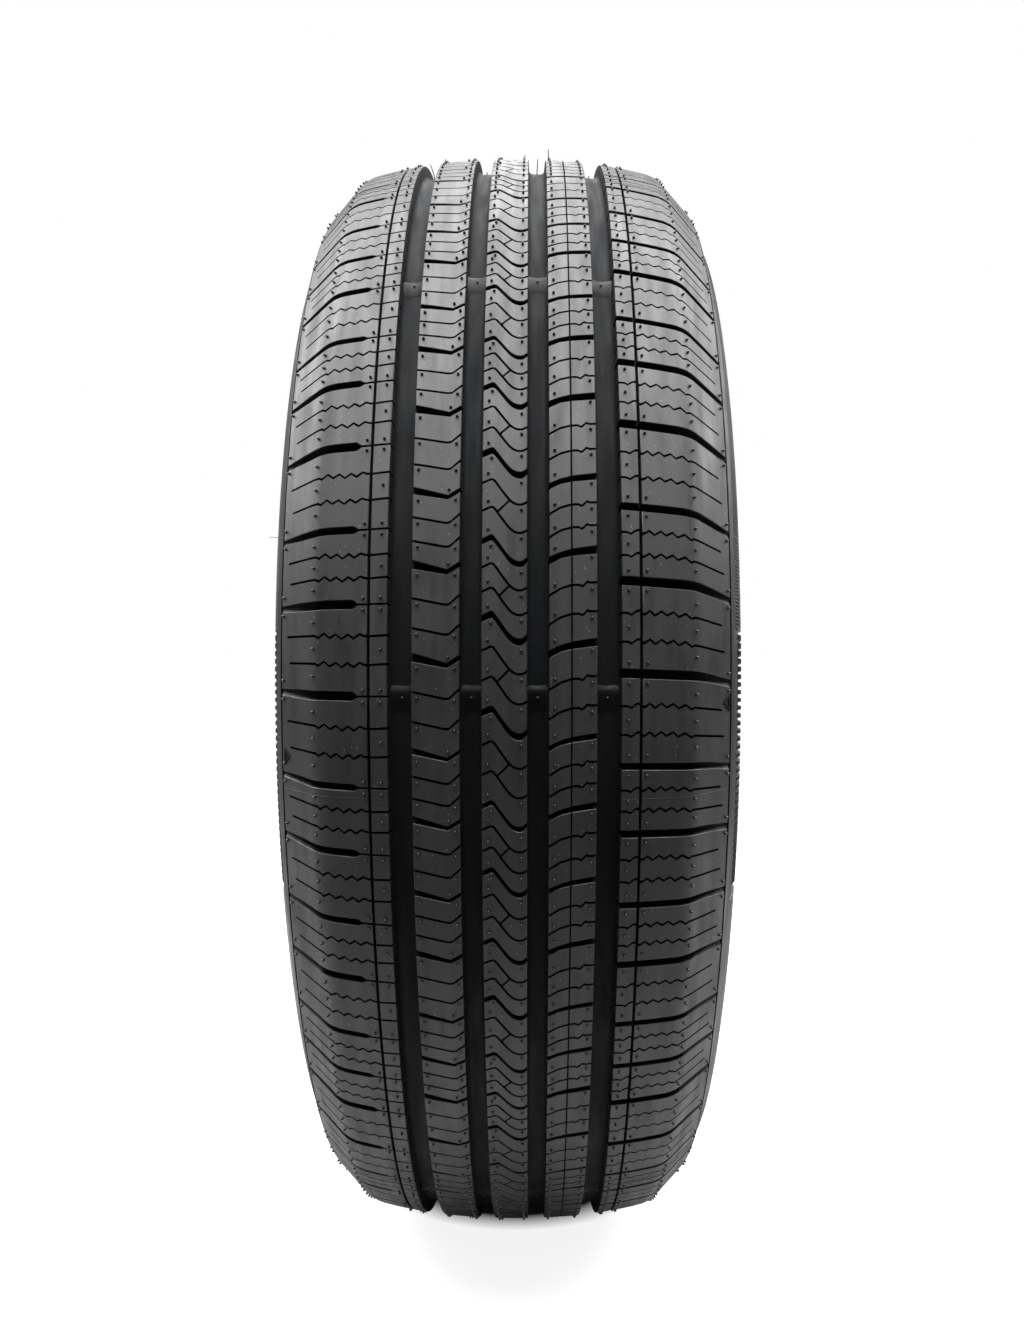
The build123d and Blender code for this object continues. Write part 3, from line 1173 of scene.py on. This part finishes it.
@dataclass
class EdgeMarks:
    """Small raised triangles near the tread's edges that point to the wear bars.

    Attributes:
        crown: The tread's curve.
        marks: Distance across of the tip and of the foot, distance along and half width of each triangle.
        repeats: How often they come round the tyre.
        rim: Width of the rim of a triangle.
        bevel: Bevel of its outer edge.
        proud: Height of the rim.
    """

    crown: Crown
    marks: tuple[tuple[float, float, float, float], ...] = (
        (-106.8, -111.6, -28.6, 4.2), (107.2, 112.6, -1.5, 4.3))
    repeats: int = 3
    rim: float = 0.85
    bevel: float = 0.1
    proud: float = 0.5

    def build(self) -> None:
        """Makes the triangles: a rim whose inner side, top and outer side run round three corners.

        Each level is the triangle drawn in towards its middle by 1 - distance / inner radius.
        """
        tip, foot, along, half = np.array(self.marks).T
        inward, depth = np.array(
            [(self.rim, FOOT), (self.rim, -self.proud), (self.bevel, -self.proud), (0.0, FOOT)]
        ).T
        middle = (tip + 2 * foot) / 3
        across = np.stack([tip, foot, foot], axis=1)
        shrink = 1 - inward / np.abs(foot - middle)[:, None, None]
        across = middle[:, None, None] + (across - middle[:, None])[:, :, None] * shrink
        aside = np.stack([np.zeros_like(half), -half, half], axis=1)[:, :, None] * shrink
        steps = np.arange(self.repeats) * 2 * pi * self.crown.round_radius / self.repeats
        along = steps[:, None, None, None] + along[:, None, None] + aside
        points = self.crown.place(across, along, depth)
        corners, levels = across.shape[1:]
        each = np.arange(self.repeats * len(self.marks)) * corners * levels
        quads = ring_quads(corners, levels) + each[:, None, None]
        mirror = np.tile(tip > foot, self.repeats)
        quads[mirror] = quads[mirror][:, :, ::-1]
        # The rims' near-black rubber paints their shaded outline
        make_piece("edge_marks", points, quads.reshape(-1, 4).tolist(), outer=PAINTED_SHADE_RUBBER)


@dataclass
class MouldSeams:
    """Fine raised lines straight across the shoulders where two parts of the mould met.

    Attributes:
        crown: The tread's curve.
        pitches: The tread's repeats.
        places: The pitches that begin next to a seam.
        shift: Distance along from the pitch's start to the seam.
        lands: The stretches of the left shoulder that a seam crosses, on both sides of its ring cut.
        stations: Steps across a land.
        half: Half the width of the line at its foot.
        top: Share of it that is left at the top.
        proud: Height of the line.
        sunk: Depth of its foot.
    """

    crown: Crown
    pitches: Pitches
    places: tuple[int, ...] = (1, 9, 20, 28, 39, 47, 55)
    shift: float = -4.7
    lands: tuple[tuple[float, float], ...] = ((-112.6, -62.4), (-59.8, -53.2))
    stations: int = 25
    half: float = 0.2
    top: float = 0.4
    proud: float = 0.13
    sunk: float = 0.12

    def build(self) -> None:
        """Makes the lines: a low ridge carried across each land of both shoulders."""
        left = np.linspace(*np.array(self.lands).T, self.stations, axis=1)
        path = np.concatenate([left, -left])
        share, depth = np.array(
            [(-1.0, self.sunk), (-self.top, -self.proud), (self.top, -self.proud), (1.0, self.sunk)]
        ).T
        starts = self.pitches.starts[list(self.places)] + self.shift
        along = starts[:, None, None, None] + self.half * share
        points = self.crown.place(path[:, :, None], along, depth)
        points = points.reshape(-1, *points.shape[2:])
        flip = np.tile(path[:, 0] > path[:, -1], len(starts))
        # The seams' paler rubber paints their light line
        make_piece("mould_seams", points, bars(points, flip), outer=SEAM_PAINTED_HIGHLIGHT)


@dataclass(frozen=True)
class Hair:
    """A thin vent hair on the tread.

    Attributes:
        across: Distance across of its foot.
        along: Distance along of its foot.
        depth: Depth of its foot.
        height: Height of its tip over the foot.
        lean_across: How far its tip leans across.
        lean_along: How far its tip leans along.
    """

    across: float
    along: float
    depth: float
    height: float
    lean_across: float = 0.0
    lean_along: float = 0.0


@dataclass
class Whiskers:
    """The few long vent hairs that were left on the tread and beside its edges.

    Attributes:
        crown: The tread's curve.
        tread_hairs: The hairs on the tread.
        side_turns: Angles of the hairs on the sidewalls, in degrees.
        side_radius: Their distance from the axle.
        side_place: Their feet's distance from the middle plane.
        side_heights: Their heights on the left and on the right.
        side_lean: How far their tips lean outward.
        foot: Radius of a hair on the tread at its foot.
        tip: Its radius at the tip.
        side_foot: Radius of a hair on a sidewall at its foot.
        side_tip: Its radius at the tip.
        levels: Rings of points on a hair.
        sides: Points in a ring.
    """

    crown: Crown
    tread_hairs: tuple[Hair, ...] = (
        Hair(-47.0, 404.0, 8.2, 8.6, -1.6, 0.6), Hair(15.3, 405.0, 8.2, 8.6, 0.2, 0.3),
        Hair(-15.0, 408.0, 8.2, 1.6), Hair(47.0, 408.0, 8.2, 1.6), Hair(21.6, 398.0, 0.3, 6.2, -0.3, 0.4),
        Hair(-38.8, 402.0, 0.3, 2.6, -0.3, 0.2), Hair(7.6, 404.0, 0.3, 2.8, 0.3, 0.2),
    )
    side_turns: tuple[float, ...] = (14.0, 128.0, 221.0)
    side_radius: float = 317.0
    side_place: float = 105.4
    side_heights: tuple[float, float] = (6.8, 4.2)
    side_lean: float = 0.8
    foot: float = 0.3
    tip: float = 0.22
    side_foot: float = 0.2
    side_tip: float = 0.12
    levels: int = 6
    sides: int = 6

    def build(self) -> None:
        """Makes the hairs, each a bent taper."""
        across, along, depth, height, *lean = np.array([astuple(hair) for hair in self.tread_hairs]).T
        axes = self.crown.axes(across, along)
        base = self.crown.place(across, along, depth)
        bend = axes[0] * lean[0][:, None] + axes[1] * lean[1][:, None]
        hairs = studs(base, axes, height, self.foot, self.tip, bend, self.levels, self.sides)
        # The hairs' near-black rubber paints them as shaded
        make_piece("tread_hairs", *hairs, outer=PAINTED_SHADE_RUBBER)

        side, turn = (part.reshape(-1) for part in np.meshgrid([-1.0, 1.0], np.radians(self.side_turns)))
        zero = np.zeros_like(turn)
        radial = turned(0.0, 1.0, turn)
        round_way = np.stack([-np.sin(turn), zero, np.cos(turn)], axis=-1) * -side[:, None]
        outward = np.stack([zero, side, zero], axis=-1)
        base = radial * self.side_radius + outward * self.side_place
        height = np.where(side < 0, *self.side_heights)
        hairs = studs(base, (radial, round_way, outward), height, self.side_foot, self.side_tip,
                      radial * self.side_lean, self.levels, self.sides)
        make_piece("side_hairs", *hairs, outer=PALE_PAINTED_LIGHT)


# The casing, and what stands on its sidewalls


@dataclass
class Casing:
    """The body of the tyre under the ribs: groove floors, sidewalls, beads and liner.

    Attributes:
        crown: The tread's curve.
        half_width: Half the width of the tyre.
        groove_edges: Distances across of the main grooves' edges, from the middle out.
        bed_depth: Depth of the bed under the ribs.
        segments: Steps round the tyre.
        fillet: Corner of a groove's floor, as distances in from the edge and depths.
        band_proud: Room between the widest place of the wall and the box.
    """

    crown: Crown
    half_width: float = field(default_factory=lambda: float(frame_reach()[1]))
    groove_edges: tuple[float, ...] = (10.1, 20.0, 41.4, 52.5)
    bed_depth: float = 7.8
    segments: int = 240
    fillet: tuple[tuple[float, float], ...] = ((-0.4, 7.8), (0.1, 5.8), (0.6, 6.8), (1.3, 7.6), (2.3, 8.0))
    band_proud: float = 0.8

    def tread_bed(self) -> tuple[np.ndarray, np.ndarray]:
        """Right half of the bed under the ribs, from the middle plane to the line at the tread's edge.

        Returns:
            Points of shape (n, 2), as place along the axle and radius, and their depths.
        """
        columns = [(0.0, self.bed_depth)]
        for index, edge in enumerate(self.groove_edges):
            outward = 1 if index % 2 == 0 else -1
            columns += [(edge + outward * into, depth) for into, depth in self.fillet[::outward]]
        columns += [(across, self.bed_depth) for across in (64.0, 75.0, 82.0, 88.0, 95.0, 104.0)]
        columns += [(112.0, 7.0), (113.0, 2.4), (114.6, 2.4), (114.9, 0.3)]
        across, depth = np.array(columns).T
        return np.stack(self.crown.section(across, depth), axis=-1), depth

    def outer_wall(self) -> np.ndarray:
        """Outside of the right sidewall, from the tread's edge line to the bead.

        Returns:
            Points of shape (n, 2): place along the axle and radius.
        """
        wide = self.half_width - self.band_proud
        return smooth_line(
            [(105.0, 319.0), (107.9, 311.0), (111.0, 300.0), (wide - 0.4, 288.0), (wide, 277.0),
             (wide - 1.2, 264.0), (104.4, 250.5), (96.4, 241.0), (91.3, 235.8)],
            steps=4)

    def sidewall(self) -> np.ndarray:
        """Right sidewall, bead and liner, from the tread's edge line back to the middle plane.

        Returns:
            Points of shape (n, 2): place along the axle and radius.
        """
        bead = [(90.4, 232.0), (86.6, 225.0), (83.4, 220.0), (81.8, 218.4), (64.0, 218.4), (62.7, 219.2)]
        inside = smooth_line(
            [(63.2, 222.0), (70.0, 230.0), (82.0, 241.0), (96.0, 254.0), (103.2, 265.0), (104.8, 280.0),
             (103.2, 295.0), (94.5, 308.5), (83.0, 319.5), (70.0, 327.5), (52.0, 330.3), (0.0, 330.8)],
            steps=3)
        return np.vstack([self.outer_wall(), bead, inside])

    def build(self) -> None:
        """Makes the casing: its section mirrored in the middle plane and turned round the axle."""
        bed, bed_depth = self.tread_bed()
        wall = self.sidewall()
        half = np.vstack([bed, wall])
        depth = np.concatenate([bed_depth, np.zeros(len(wall))])
        section = np.vstack([half, half[-2:0:-1] * [-1, 1]])
        depth = np.concatenate([depth, depth[-2:0:-1]])
        turn = np.arange(self.segments)[:, None] * 2 * pi / self.segments
        faces = ring_quads(self.segments, len(section)).tolist()
        # The depths put the rubbers of painted groove shade on the main grooves' floors and fillets
        make_piece("casing", turned(*section.T, turn), faces, np.tile(depth, self.segments), SIDEWALL_RUBBER)


@dataclass(frozen=True)
class Band:
    """Plain bars on both sidewalls, in a ring or in panels of it.

    Attributes:
        name: Name of the piece.
        low: Inner radius.
        high: Outer radius.
        pitch: Spacing of the bars.
        proud: Height of the bars.
        share: Share of the spacing that a bar fills.
        rubber: Finish of the bars.
        panels: Middles of the panels in degrees, or none for the whole ring.
        panel_half: Half the angle of a panel, in degrees.
    """

    name: str
    low: float
    high: float
    pitch: float
    proud: float
    share: float
    rubber: Rubber
    panels: tuple[float, ...] = ()
    panel_half: float = 12.0

    def turns(self) -> np.ndarray:
        """Angles of the bars: even steps round the tyre, kept where they fall in a panel.

        Returns:
            Angles in radians.
        """
        count = round(pi * (self.low + self.high) / self.pitch)
        turn = np.arange(count) * 2 * pi / count
        if not self.panels:
            return turn
        away = turn[:, None] - np.radians(self.panels)
        away = np.abs((away + pi) % (2 * pi) - pi)
        return turn[away.min(axis=1) < radians(self.panel_half)]


@dataclass
class SidewallBands:
    """Plain bars on the sidewalls, where the wall is widest: coarse and fine ones in panels that take turns.

    Attributes:
        wall: The sidewall's line, as place along the axle and radius.
        limit: The widest place that a bar may reach.
        left_share: Height of the bars on the left as a share of that on the right.
        top: Width of a bar's top as a share of its foot's.
        rises: Heights of a bar's stations as shares, low at both ends.
        sunk: Depth of its foot in the wall.
        bands: The two kinds of panels.
    """

    wall: np.ndarray
    limit: float
    left_share: float = 0.45
    top: float = 0.7
    rises: tuple[float, ...] = (0.05, 1.0, 1.0, 1.0, 0.05)
    sunk: float = 0.4
    bands: tuple[Band, ...] = (
        # Coarse bars in near-black rubber, which paints their shade
        Band("coarse_panels", 284.0, 303.0, 3.7, 1.5, 0.66, PAINTED_SHADE_RUBBER, (-6.0, 84.0, 174.0, 264.0), 11.8),
        # Fine bars in the paler rubber, which paints their lit look
        Band("fine_panels", 288.0, 309.0, 1.7, 1.4, 0.62, PALE_PAINTED_LIGHT, (39.0, 129.0, 219.0, 309.0), 32.6),
    )

    def build(self) -> None:
        """Makes each band: bars that follow the sidewall, with a flat top narrower than the foot.

        At each station, a bar's top lies at wall + proud * rise * the side's share, or at the limit if that
        is nearer, and its foot at wall - sunk.
        """
        for band in self.bands:
            turn = band.turns()
            count = len(turn)
            radius = np.linspace(band.low, band.high, len(self.rises))
            wall = np.interp(radius, self.wall[::-1, 1], self.wall[::-1, 0])
            lift = band.proud * np.array(self.rises)
            half = band.pitch * band.share / 2
            corner = half * np.array([-1.0, -self.top, self.top, 1.0])
            spin = turn[:, None, None] + corner / radius[:, None]
            sides = []
            for side, share in ((-1, self.left_share), (1, 1.0)):
                top = np.minimum(wall + lift * share, self.limit)
                rise = np.stack([wall - self.sunk, top, top, wall - self.sunk], axis=-1) * side
                sides.append(turned(rise, radius[:, None], spin))
            both = np.concatenate(sides)
            make_piece(band.name, both, bars(both, np.arange(2 * count) >= count), outer=band.rubber)


@dataclass
class SideRings:
    """Low ridges round both sidewalls: the lower edge of the bars' panels, and two lines beside the rim.

    Attributes:
        wall: The sidewall's line, as place along the axle and radius.
        rings: Radius, half width at the foot and height of each ridge.
        top: Width of a ridge's top as a share of its foot's.
        sunk: Depth of its foot in the wall as a share of its height.
        segments: Steps round the tyre.
    """

    wall: np.ndarray
    rings: tuple[tuple[float, float, float], ...] = ((281.0, 0.7, 0.5), (246.0, 0.9, 0.8), (241.5, 0.6, 0.6))
    top: float = 0.4
    sunk: float = 0.3
    segments: int = 240

    def build(self) -> None:
        """Makes the ridges: a section of four corners turned round the axle, mirrored for the left side."""
        middle, half, proud = np.array(self.rings).T[:, :, None]
        wide, high = np.array([(1.0, -self.sunk), (self.top, 1.0), (-self.top, 1.0), (-1.0, -self.sunk)]).T
        radius = middle + half * wide
        side = np.interp(radius, self.wall[::-1, 1], self.wall[::-1, 0]) + proud * high
        turn = np.arange(self.segments)[:, None] * 2 * pi / self.segments
        right = turned(side[:, None], radius[:, None], turn)
        both = np.concatenate([right, right[:, :, ::-1] * [1, -1, 1]])
        each = np.arange(len(both)) * self.segments * len(wide)
        quads = ring_quads(self.segments, len(wide)) + each[:, None, None]
        make_piece("side_rings", both, quads.reshape(-1, 4).tolist(), outer=SIDEWALL_RUBBER)


# The stage


@dataclass(frozen=True)
class SoftBox:
    """A flat studio lamp.

    Attributes:
        name: Where it stands.
        place: Its middle, in metres.
        aim: The point that it faces, in metres.
        size: Its width and length, in metres.
        power: Its power, in watts.
    """

    name: Lamp
    place: tuple[float, float, float]
    aim: tuple[float, float, float]
    size: tuple[float, float]
    power: float


@dataclass
class Studio:
    """The pale floor, the white surroundings, the lamps and the camera.

    Attributes:
        floor_height: Height of the floor, in metres.
        floor_half: Half its length and width.
        ambient: Strength of the light from all round.
        glow_reach: Distances from the tyre's middle over which the floor's white grows.
        floor_glow: Its white near and far.
        floor_fade: Distances ahead of the tyre over which the floor's grey changes.
        floor_grey: Its grey under the tyre and ahead.
        painted_contact_shadow: Half sizes of the painted shadow, a patch where the floor's white fades out
            where the tyre stands.
        painted_shadow_fade: Shares of them between which the painted shadow fades.
        lens: The camera's lens, in millimetres.
        sensor: Height of its sensor.
        camera_place: Its place.
        camera_aim: The way that it looks.
        centre_row: The image's row that the camera's middle falls on.
        lamps: The soft boxes.
    """

    floor_height: float
    floor_half: float = 30.0
    ambient: float = 0.1
    glow_reach: tuple[float, float] = (0.7, 1.4)
    floor_glow: tuple[float, float] = (0.88, 1.0)
    floor_fade: tuple[float, float] = (0.3, 0.6)
    floor_grey: tuple[float, float] = (0.55, 0.05)
    painted_contact_shadow: tuple[float, float] = (0.085, 0.09)
    painted_shadow_fade: tuple[float, float] = (0.74, 1.04)
    lens: float = 34.39
    sensor: float = 36.0
    camera_place: tuple[float, float, float] = (0.9096, 0.0122, 0.0)
    camera_aim: tuple[float, float, float] = (-0.9986, -0.0156, -0.0506)
    centre_row: float = 764.0
    lamps: tuple[SoftBox, ...] = (
        SoftBox(Lamp.OVERHEAD, (0.5, 0.0, 1.6), (0.5, 0.0, 0.0), (2.3, 2.6), 104.0),
        SoftBox(Lamp.STRIP, (-1.0, 0.0, 1.4), (0.15, 0.0, 0.3), (0.2, 1.0), 4.5),
        SoftBox(Lamp.RIM, (-1.4, 0.7, 0.45), (0.25, 0.11, 0.12), (0.4, 0.6), 5.0),
        SoftBox(Lamp.LEFT, (-0.35, -1.35, 1.15), (0.0, 0.0, 0.1), (1.2, 1.2), 25.0),
        SoftBox(Lamp.RIGHT, (-0.35, 1.35, 1.15), (0.0, 0.0, 0.1), (1.2, 1.2), 21.0),
    )

    def build_floor(self) -> None:
        """Makes the floor, which shows white to the camera, keeps the tyre's shadow and has a painted shadow
        where the tyre stands.
        """
        half, height = self.floor_half, self.floor_height
        corners = [(-half, -half, height), (half, -half, height), (half, half, height), (-half, half, height)]
        mesh = bpy.data.meshes.new("floor")
        mesh.from_pydata(corners, [], [(0, 1, 2, 3)])
        paint = bpy.data.materials.new("floor_paint")
        paint.use_nodes = True
        graph = Graph(paint.node_tree)
        place = graph.place()
        ahead = graph.add("ShaderNodeSeparateXYZ", "X", {"Vector": place})
        white = graph.spread(graph.length(place), self.glow_reach, self.floor_glow)
        # A painted shadow: the floor's white glow fades to nothing in a patch where the tyre stands
        patch = graph.scale_parts("DIVIDE", place, (*self.painted_contact_shadow, 1.0))
        near = graph.length(graph.scale_parts("MULTIPLY", patch, (1.0, 1.0, 0.0)))
        shaded = graph.combine("MULTIPLY", white, graph.spread(near, self.painted_shadow_fade, (0.0, 1.0)))
        seen = graph.add("ShaderNodeLightPath", "Is Camera Ray", {})
        graph.feed(paint.node_tree.nodes["Principled BSDF"], {
            "Base Color": graph.spread(ahead, self.floor_fade, self.floor_grey),
            "Roughness": 0.9,
            "Emission Color": WHITE,
            "Emission Strength": graph.combine("MULTIPLY", seen, shaded),
        })
        mesh.materials.append(paint)
        floor = bpy.data.objects.new("floor", mesh)
        bpy.context.scene.collection.objects.link(floor)

    def build_world(self) -> None:
        """Makes the surroundings: white where they are seen, and a plain grey light elsewhere."""
        world = bpy.data.worlds.new("surroundings")
        world.use_nodes = True
        graph = Graph(world.node_tree)
        seen, through = (
            graph.add("ShaderNodeLightPath", ray, {}) for ray in ("Is Camera Ray", "Is Transmission Ray")
        )
        strength = graph.spread(graph.combine("MAXIMUM", seen, through), (0.0, 1.0), (self.ambient, 1.0))
        graph.feed(world.node_tree.nodes["Background"], {"Color": WHITE, "Strength": strength})
        bpy.context.scene.world = world

    def build_lamps(self) -> None:
        """Hangs the soft boxes."""
        for box in self.lamps:
            data = bpy.data.lights.new(box.name.value, "AREA")
            data.shape = "RECTANGLE"
            data.size, data.size_y = box.size
            data.energy = box.power
            lamp = bpy.data.objects.new(box.name.value, data)
            lamp.location = box.place
            lamp.visible_camera = False
            lamp.rotation_euler = (Vector(box.aim) - Vector(box.place)).to_track_quat("-Z", "Y").to_euler()
            bpy.context.scene.collection.objects.link(lamp)

    def build_camera(self) -> None:
        """Sets up the camera at the photograph's angle, with the axle's height off the image's middle."""
        data = bpy.data.cameras.new("camera")
        data.sensor_fit = "VERTICAL"
        data.sensor_height = self.sensor
        data.lens = self.lens
        data.shift_y = (self.centre_row - IMAGE_HEIGHT / 2) / IMAGE_HEIGHT
        data.clip_start = 0.01
        camera = bpy.data.objects.new("camera", data)
        camera.location = self.camera_place
        camera.rotation_euler = Vector(self.camera_aim).to_track_quat("-Z", "Y").to_euler()
        bpy.context.scene.collection.objects.link(camera)
        bpy.context.scene.camera = camera

    def build(self) -> None:
        """Makes the whole stage and sets a plain view transform."""
        self.build_floor()
        self.build_world()
        self.build_lamps()
        self.build_camera()
        bpy.context.scene.view_settings.view_transform = "Standard"


def main() -> None:
    """Builds the tyre, its stage, lights and camera in order."""
    logging.basicConfig(level=logging.INFO, format="%(message)s")
    crown, pitches = Crown(), Pitches()
    log.info("crown radius %.1f, %d pitches", crown.radius, len(pitches.lengths))
    casing = Casing(crown)
    wall = casing.outer_wall()
    parts = (
        casing,
        SidewallBands(wall, casing.half_width - BAR_CLEAR),
        SideRings(wall),
        Tread(crown, pitches),
        WearBars(crown),
        EdgeMarks(crown),
        MouldSeams(crown, pitches),
        Whiskers(crown),
        Studio(floor_height=-float(frame_reach()[2]) * MM),
    )
    for part in parts:
        log.info("building %s", type(part).__name__)
        part.build()


if __name__ == "__main__":
    main()
